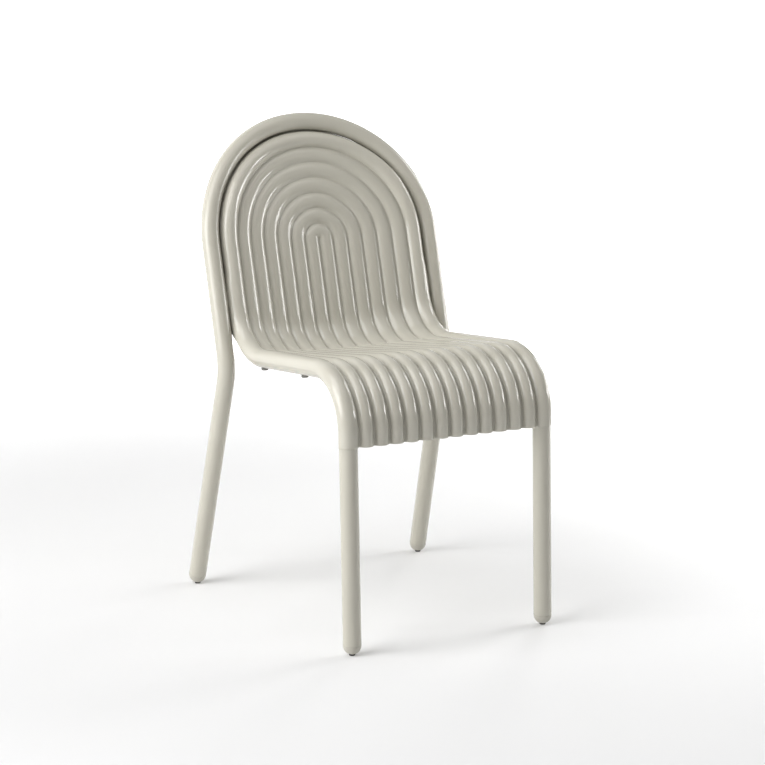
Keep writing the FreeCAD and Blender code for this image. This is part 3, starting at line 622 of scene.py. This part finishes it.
def toe_at(row):
    """Length of the toe, which stops just short of the hoop."""
    edge = RAIL_X + mixed(COVER_R, BACK_HALF, narrowed_at(row))
    foot = on_form(edge, row, -VALLEY_LEVEL - BACK_FLANGE)
    turn = math.pi / 2 * max(row - TO_ARCH, 0) / ROWS["arch"]
    level = (foot - hoop_bend).dot(back_normal) - hoop_depth(HOOP_X * math.cos(turn))
    return HOOP_X - math.sqrt(TUBE_R ** 2 - min(abs(level), TUBE_R) ** 2) - edge - TOE_PLAY


for row in (TO_ARCH, (TO_ARCH + TO_TOP) // 2, TO_TOP):
    print("toe in row", row, round(toe_at(row) / MM, 2), "mm")

# %% [markdown]
# Now the sheet itself. A grid operator lays out all its points at once, each one
# notes its grid line and its row in a layer of the mesh, and then it goes to its
# place on the form. Typed points and faces would give the same sheet, but the grid
# comes with its faces, and the layers let later steps find a point again.

# %% Lay out the half sheet and bend it
WALL = 3.5 * MM
TUBE_PLAY = 0.3 * MM
GRID_HALF = 0.5


def wall_at(step):
    """The wall thins towards the tube, which carries the outer rib."""
    share = min(max((step + 1 - INNER_LINES) / STEPS["crease"], 0.0), 1.0)
    return mixed(WALL, COVER_R - TUBE_R - TUBE_PLAY, share)


def put_on_form(vert, line, row, under):
    """Moves a point of the grid to the upper or the lower face of the shell."""
    shape = flat_at(row), narrowed_at(row), joined_at(row), toe_at(row)
    reach, height, slope = across(line, *shape)
    if under:
        reach += wall_at(line) * math.sin(slope)
        height -= wall_at(line) * math.cos(slope)
    vert.co = on_form(max(reach, 0.0), row, height)


bm = bmesh.new()
line_of = bm.verts.layers.int.new("line")
row_of = bm.verts.layers.int.new("row")
under_of = bm.verts.layers.int.new("under")
bmesh.ops.create_grid(bm, x_segments=LINES, y_segments=TO_TOP, size=GRID_HALF)
for vert in bm.verts:
    vert[line_of] = round((vert.co.x + GRID_HALF) * LINES)
    vert[row_of] = round((vert.co.y + GRID_HALF) * TO_TOP)
    put_on_form(vert, vert[line_of], vert[row_of], under=False)
bmesh.ops.recalc_face_normals(bm, faces=bm.faces)
print("half sheet:", len(bm.verts), "points")

# %% [markdown]
# The sheet gets its thickness from an extruded copy of all its faces, which is then
# bent over a slightly smaller form. A solidify would give the same wall everywhere,
# but the real wall is thinner where the outer rib lies on the tube.

# %% Give the sheet its underside
made = bmesh.ops.extrude_face_region(bm, geom=bm.faces[:])["geom"]
for vert in points_in(made):
    vert[under_of] = 1
    put_on_form(vert, vert[line_of], vert[row_of], under=True)
cut_faces = [face for face in bm.faces if all(vert.co.x < TOUCH for vert in face.verts)]
bmesh.ops.delete(bm, geom=cut_faces, context="FACES")
bmesh.ops.remove_doubles(bm, verts=bm.verts, dist=TOUCH)
bmesh.ops.mirror(bm, geom=bm.verts[:] + bm.edges[:] + bm.faces[:], axis="X", merge_dist=TOUCH)
bmesh.ops.recalc_face_normals(bm, faces=bm.faces)
open_edges = sum(edge.is_boundary for edge in bm.edges)
print("whole shell:", len(bm.faces), "faces,", open_edges, "open edges")

# %% [markdown]
# The shell ends in front in a wavy lower edge, and beside it in two sleeves round the
# legs. A moulded edge is never sharp, and its rounding catches the light. A Bevel
# modifier would round every edge past an angle, so the rims are picked here by the
# rows and lines that the points have noted.

# %% Round the lower edge of the apron and of the sleeves
RIM_ANGLE = math.radians(60)
APRON_EASE = 1.2 * MM
SLEEVE_EASE = 1.0 * MM


def on_apron(vert):
    """Whether a point lies on the wavy lower edge, on either face."""
    return vert[row_of] == 0 and vert[line_of] <= INNER_LINES


def on_sleeve(vert):
    """Whether a point lies on the lower edge of a sleeve, on its outer face."""
    return vert[row_of] == 0 and vert[line_of] > INNER_LINES and not vert[under_of]


rims = [edge for edge in bm.edges if edge.calc_face_angle(0.0) > RIM_ANGLE]
apron_rim = [edge for edge in rims if all(on_apron(vert) for vert in edge.verts)]
sleeve_rim = [edge for edge in rims if all(on_sleeve(vert) for vert in edge.verts)]
ease(bm, apron_rim, APRON_EASE)
ease(bm, [edge for edge in sleeve_rim if edge.is_valid], SLEEVE_EASE)
print("rim edges:", len(apron_rim), "on the apron,", len(sleeve_rim), "on the sleeves")
shell = finish_mesh(bm, "ribbed_shell", sharp=50.0)
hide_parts("seat_shell")

# %% [markdown]
# ## Finishes
#
# The whole chair has one light warm grey: glossy on the moulded shell, a little less
# so on the coated tubes, satin on the plugs. No real surface is one flat colour. Each
# material could have its own noise, but a shared node group that puts out a slow
# drift of tone and a fine grain is built once, and each finish sets its own scale.

# %% Shared grain
GRAIN_DETAIL = 3.0
grain = bpy.data.node_groups.new("grain", "ShaderNodeTree")
for name, value in (("Drift Scale", 5.0), ("Grain Scale", 900.0)):
    socket = grain.interface.new_socket(name, in_out="INPUT", socket_type="NodeSocketFloat")
    socket.default_value = value
for name in ("Drift", "Grain"):
    grain.interface.new_socket(name, in_out="OUTPUT", socket_type="NodeSocketFloat")
inputs = grain.nodes.new("NodeGroupInput")
outputs = grain.nodes.new("NodeGroupOutput")
on_piece = grain.nodes.new("ShaderNodeTexCoord")
for name in ("Drift", "Grain"):
    noise = grain.nodes.new("ShaderNodeTexNoise")
    noise.inputs["Detail"].default_value = GRAIN_DETAIL
    grain.links.new(on_piece.outputs["Object"], noise.inputs["Vector"])
    grain.links.new(inputs.outputs[f"{name} Scale"], noise.inputs["Scale"])
    grain.links.new(noise.outputs["Fac"], outputs.inputs[name])
print("grain puts out", [socket.name for socket in outputs.inputs if socket.name])

# %% [markdown]
# A finish is that grain with a pair of tones, a range of roughness and a little
# relief. Powder coat has a finer skin than a mould leaves, rubber is dull and dark,
# and the hidden screws and inserts are bare metal. They could be set by hand in the
# shader editor, one by one, but one function keeps them alike.

# %% Build a finish on the grain
GRAIN_DEEP = 0.2 * MM


def finish(name, dark, light, rough, drift, grain_scale, bump, metallic=0.0):
    """Material whose tone drifts between two colours and whose roughness follows the grain."""
    material = bpy.data.materials.new(name)
    material.use_nodes = True
    nodes, links = material.node_tree.nodes, material.node_tree.links
    shader = nodes["Principled BSDF"]
    shader.inputs["Metallic"].default_value = metallic
    pattern = nodes.new("ShaderNodeGroup")
    pattern.node_tree = grain
    pattern.inputs["Drift Scale"].default_value = drift
    pattern.inputs["Grain Scale"].default_value = grain_scale
    tone = nodes.new("ShaderNodeMix")
    tone.data_type = "RGBA"
    tone.inputs["A"].default_value = (*dark, 1)
    tone.inputs["B"].default_value = (*light, 1)
    links.new(pattern.outputs["Drift"], tone.inputs["Factor"])
    links.new(tone.outputs["Result"], shader.inputs["Base Color"])
    gloss = nodes.new("ShaderNodeMapRange")
    gloss.inputs["To Min"].default_value = rough[0]
    gloss.inputs["To Max"].default_value = rough[1]
    links.new(pattern.outputs["Grain"], gloss.inputs["Value"])
    links.new(gloss.outputs["Result"], shader.inputs["Roughness"])
    relief = nodes.new("ShaderNodeBump")
    relief.inputs["Strength"].default_value = bump
    relief.inputs["Distance"].default_value = GRAIN_DEEP
    links.new(pattern.outputs["Grain"], relief.inputs["Height"])
    links.new(relief.outputs["Normal"], shader.inputs["Normal"])
    print(name, "rough", rough)
    return material


print("grain is up to", round(GRAIN_DEEP / MM, 2), "mm deep")

# %% The chair's finishes
shell_gloss = finish("shell_gloss", dark=(0.52, 0.50, 0.43), light=(0.56, 0.54, 0.47),
                     rough=(0.10, 0.16), drift=4.0, grain_scale=700.0, bump=0.03)
tube_coat = finish("tube_coat", dark=(0.50, 0.48, 0.41), light=(0.54, 0.52, 0.45),
                   rough=(0.14, 0.20), drift=9.0, grain_scale=1400.0, bump=0.05)
plug_satin = finish("plug_satin", dark=(0.46, 0.44, 0.38), light=(0.50, 0.48, 0.42),
                    rough=(0.40, 0.52), drift=12.0, grain_scale=1100.0, bump=0.12)
pad_rubber = finish("pad_rubber", dark=(0.020, 0.020, 0.020), light=(0.035, 0.034, 0.033),
                    rough=(0.6, 0.8), drift=60.0, grain_scale=1600.0, bump=0.3)
button_grey = finish("button_grey", dark=(0.17, 0.165, 0.15), light=(0.22, 0.215, 0.20),
                     rough=(0.5, 0.7), drift=60.0, grain_scale=1600.0, bump=0.3)
screw_steel = finish("screw_steel", dark=(0.50, 0.50, 0.51), light=(0.60, 0.60, 0.61),
                     rough=(0.25, 0.40), drift=40.0, grain_scale=1800.0, bump=0.1, metallic=1.0)
insert_brass = finish("insert_brass", dark=(0.60, 0.42, 0.16), light=(0.70, 0.50, 0.22),
                      rough=(0.25, 0.40), drift=40.0, grain_scale=1800.0, bump=0.1, metallic=1.0)

# %% [markdown]
# The new pieces get their finishes in groups. The small fixings of the frame model
# that are right as they are, such as bars, brackets and screws, could be modelled
# anew as well, but they only need a material in place of their plain one.

# %% Put the finishes on
def dress(piece, material):
    """Gives a piece one material in place of any other."""
    piece.data.materials.clear()
    piece.data.materials.append(material)


for piece in tubes:
    dress(piece, tube_coat)
for piece in plugs:
    dress(piece, plug_satin)
for piece in pads:
    dress(piece, pad_rubber)
for piece in buttons:
    dress(piece, button_grey)
dress(shell, shell_gloss)
by_slot = {"shell": shell_gloss, "frame": tube_coat, "plug": plug_satin, "pad": pad_rubber,
           "fixing": screw_steel, "insert": insert_brass}
for part in frame["record"]["subparts"]:
    dress(frame["nodes"][part["node"]], by_slot[part["material_slot"]])
print("finished pieces:", len(tubes) + len(plugs) + len(pads) + len(buttons) + 1)

# %% [markdown]
# ## Floor, light and camera
#
# A studio floor is a roll of paper that sweeps up behind the object, so that no
# corner shows. A plane and a wall would leave a line between them. Here the plane's
# rear edge is spun up through a quarter turn, and its last edge is drawn on upwards.

# %% Pale floor that sweeps up behind the chair
FLOOR_HALF = 8.0
SWEEP_Y = 2.0
SWEEP_R = 1.4
SWEEP_STEPS = 24
SWEEP_UP = 4.0
bm = bmesh.new()
bmesh.ops.create_grid(bm, x_segments=1, y_segments=1, size=FLOOR_HALF,
                      matrix=Matrix.Translation((0, SWEEP_Y - FLOOR_HALF, 0)))
rear = max(bm.edges, key=lambda edge: min(vert.co.y for vert in edge.verts))
curve = bmesh.ops.spin(bm, geom=[rear, *rear.verts], cent=(0, SWEEP_Y, SWEEP_R), axis=(1, 0, 0),
                       angle=math.pi / 2, steps=SWEEP_STEPS)["geom_last"]
upper = bmesh.ops.extrude_edge_only(bm, edges=edges_in(curve))["geom"]
bmesh.ops.translate(bm, vec=(0, 0, SWEEP_UP), verts=points_in(upper))
mesh = bpy.data.meshes.new("floor")
bm.to_mesh(mesh)
bm.free()
mesh.shade_smooth()
floor = bpy.data.objects.new("floor", mesh)
bpy.context.scene.collection.objects.link(floor)
floor_pale = finish("floor_pale", dark=(0.80, 0.80, 0.80), light=(0.82, 0.82, 0.82),
                    rough=(0.7, 0.8), drift=2.0, grain_scale=60.0, bump=0.0)
dress(floor, floor_pale)
print("floor", tuple(round(side, 2) for side in floor.dimensions))

# %% [markdown]
# A studio sweep is lit by itself, so that it fades to white all round. Far lamps could
# do that, but they would light the chair as well. Here the paper glows a little, more
# with the distance from the chair, and it is brighter to the camera than as a lamp,
# which the Light Path node tells apart.

# %% Floor that fades to white
GLOW_FROM, GLOW_TO = 0.9, 3.2
GLOW_AS_LAMP, GLOW_AS_SEEN = 0.25, 0.95


def seen_or_lamp(tree, as_lamp, as_seen):
    """Output that is one value to the camera and another to all else."""
    path = tree.nodes.new("ShaderNodeLightPath")
    level = tree.nodes.new("ShaderNodeMapRange")
    level.inputs["To Min"].default_value = as_lamp
    level.inputs["To Max"].default_value = as_seen
    tree.links.new(path.outputs["Is Camera Ray"], level.inputs["Value"])
    return level.outputs["Result"]


tree = floor_pale.node_tree
on_floor = tree.nodes.new("ShaderNodeTexCoord")
distance = tree.nodes.new("ShaderNodeVectorMath")
distance.operation = "LENGTH"
glow = tree.nodes.new("ShaderNodeMapRange")
glow.interpolation_type = "SMOOTHSTEP"
glow.inputs["From Min"].default_value = GLOW_FROM
glow.inputs["From Max"].default_value = GLOW_TO
paper = tree.nodes["Principled BSDF"]
paper.inputs["Emission Strength"].default_value = 1.0
tree.links.new(on_floor.outputs["Object"], distance.inputs[0])
tree.links.new(distance.outputs["Value"], glow.inputs["Value"])
tree.links.new(seen_or_lamp(tree, GLOW_AS_LAMP, GLOW_AS_SEEN), glow.inputs["To Max"])
tree.links.new(glow.outputs["Result"], paper.inputs["Emission Color"])
print("floor glows from", GLOW_FROM, "to", GLOW_TO, "m")

# %% [markdown]
# Past the paper there is only a white sky. It could light the chair as brightly as it
# is seen, but that would fill the shade below the seat, so the same node dims it as a
# lamp.

# %% Pale sky
SKY_AS_LAMP, SKY_AS_SEEN = 0.10, 1.0
world = bpy.data.worlds.new("studio")
bpy.context.scene.world = world
world.use_nodes = True
sky = world.node_tree.nodes["Background"]
sky.inputs["Color"].default_value = (1, 1, 1, 1)
level = seen_or_lamp(world.node_tree, SKY_AS_LAMP, SKY_AS_SEEN)
world.node_tree.links.new(level, sky.inputs["Strength"])
print("sky lights with", SKY_AS_LAMP)

# %% [markdown]
# The picture was taken in soft light that comes mostly from the left: it leaves the
# left flanks of the legs bright and the apron in shade. Smaller lamps on the right draw
# the bright lines in the grooves of the back, on the roll and down the hoop's right
# side, because a glossy rib mirrors a lamp where its flank faces halfway between lamp
# and camera. One bright sky would light the chair too, but it has no such lines.

# %% Soft lights
middle_of_chair = Vector((0, 0, 0.45))


def softbox(name, spot, width, power):
    """Round area lamp that faces the chair."""
    lamp = bpy.data.lights.new(name, "AREA")
    lamp.shape = "DISK"
    lamp.size = width
    lamp.energy = power
    holder = bpy.data.objects.new(name, lamp)
    holder.location = spot
    facing = middle_of_chair - holder.location
    holder.rotation_euler = facing.to_track_quat("-Z", "Y").to_euler()
    bpy.context.scene.collection.objects.link(holder)
    print(name, power, "W")


softbox("key", (-4.4, 0.4, 1.8), width=2.6, power=98)
softbox("front", (-4.2, -1.2, 2.2), width=2.6, power=58)
softbox("left", (-2.0, -0.2, 2.8), width=2.4, power=46)
softbox("top", (0.0, -0.6, 3.0), width=2.6, power=12)
softbox("right", (2.5, -0.2, 0.85), width=0.9, power=20)
softbox("rim", (2.1, 1.75, 0.5), width=0.9, power=28)
softbox("high_right", (2.04, 0.2, 1.62), width=0.8, power=11)
softbox("right_front", (2.04, -1.0, 0.89), width=0.4, power=6.5)
bpy.context.scene.view_settings.view_transform = "Standard"

# %% [markdown]
# The camera stands far off, to the left of the chair's front and a little above the
# seat. A near camera with a short lens would frame the chair as well, but it would
# spread the legs. The angles, the distance and the lens were found by fitting the
# outlines of the frame to the picture, and the camera is turned to look at one point.

# %% Camera at the photograph's angle
SENSOR = 36.0
FOCAL = 113.64
AZIMUTH = math.radians(-28.509)
ELEVATION = math.radians(11.166)
DISTANCE = 4.08415
target = Vector((0.012293, -0.015835, 0.381622))
lens = bpy.data.cameras.new("view")
lens.sensor_width = SENSOR
lens.lens = FOCAL
view = bpy.data.objects.new("view", lens)
backwards = Vector((math.sin(AZIMUTH) * math.cos(ELEVATION),
                    -math.cos(AZIMUTH) * math.cos(ELEVATION), math.sin(ELEVATION)))
view.location = target + backwards * DISTANCE
view.rotation_euler = backwards.to_track_quat("Z", "Y").to_euler()
bpy.context.scene.collection.objects.link(view)
bpy.context.scene.camera = view
print("camera at", tuple(round(c, 3) for c in view.location))
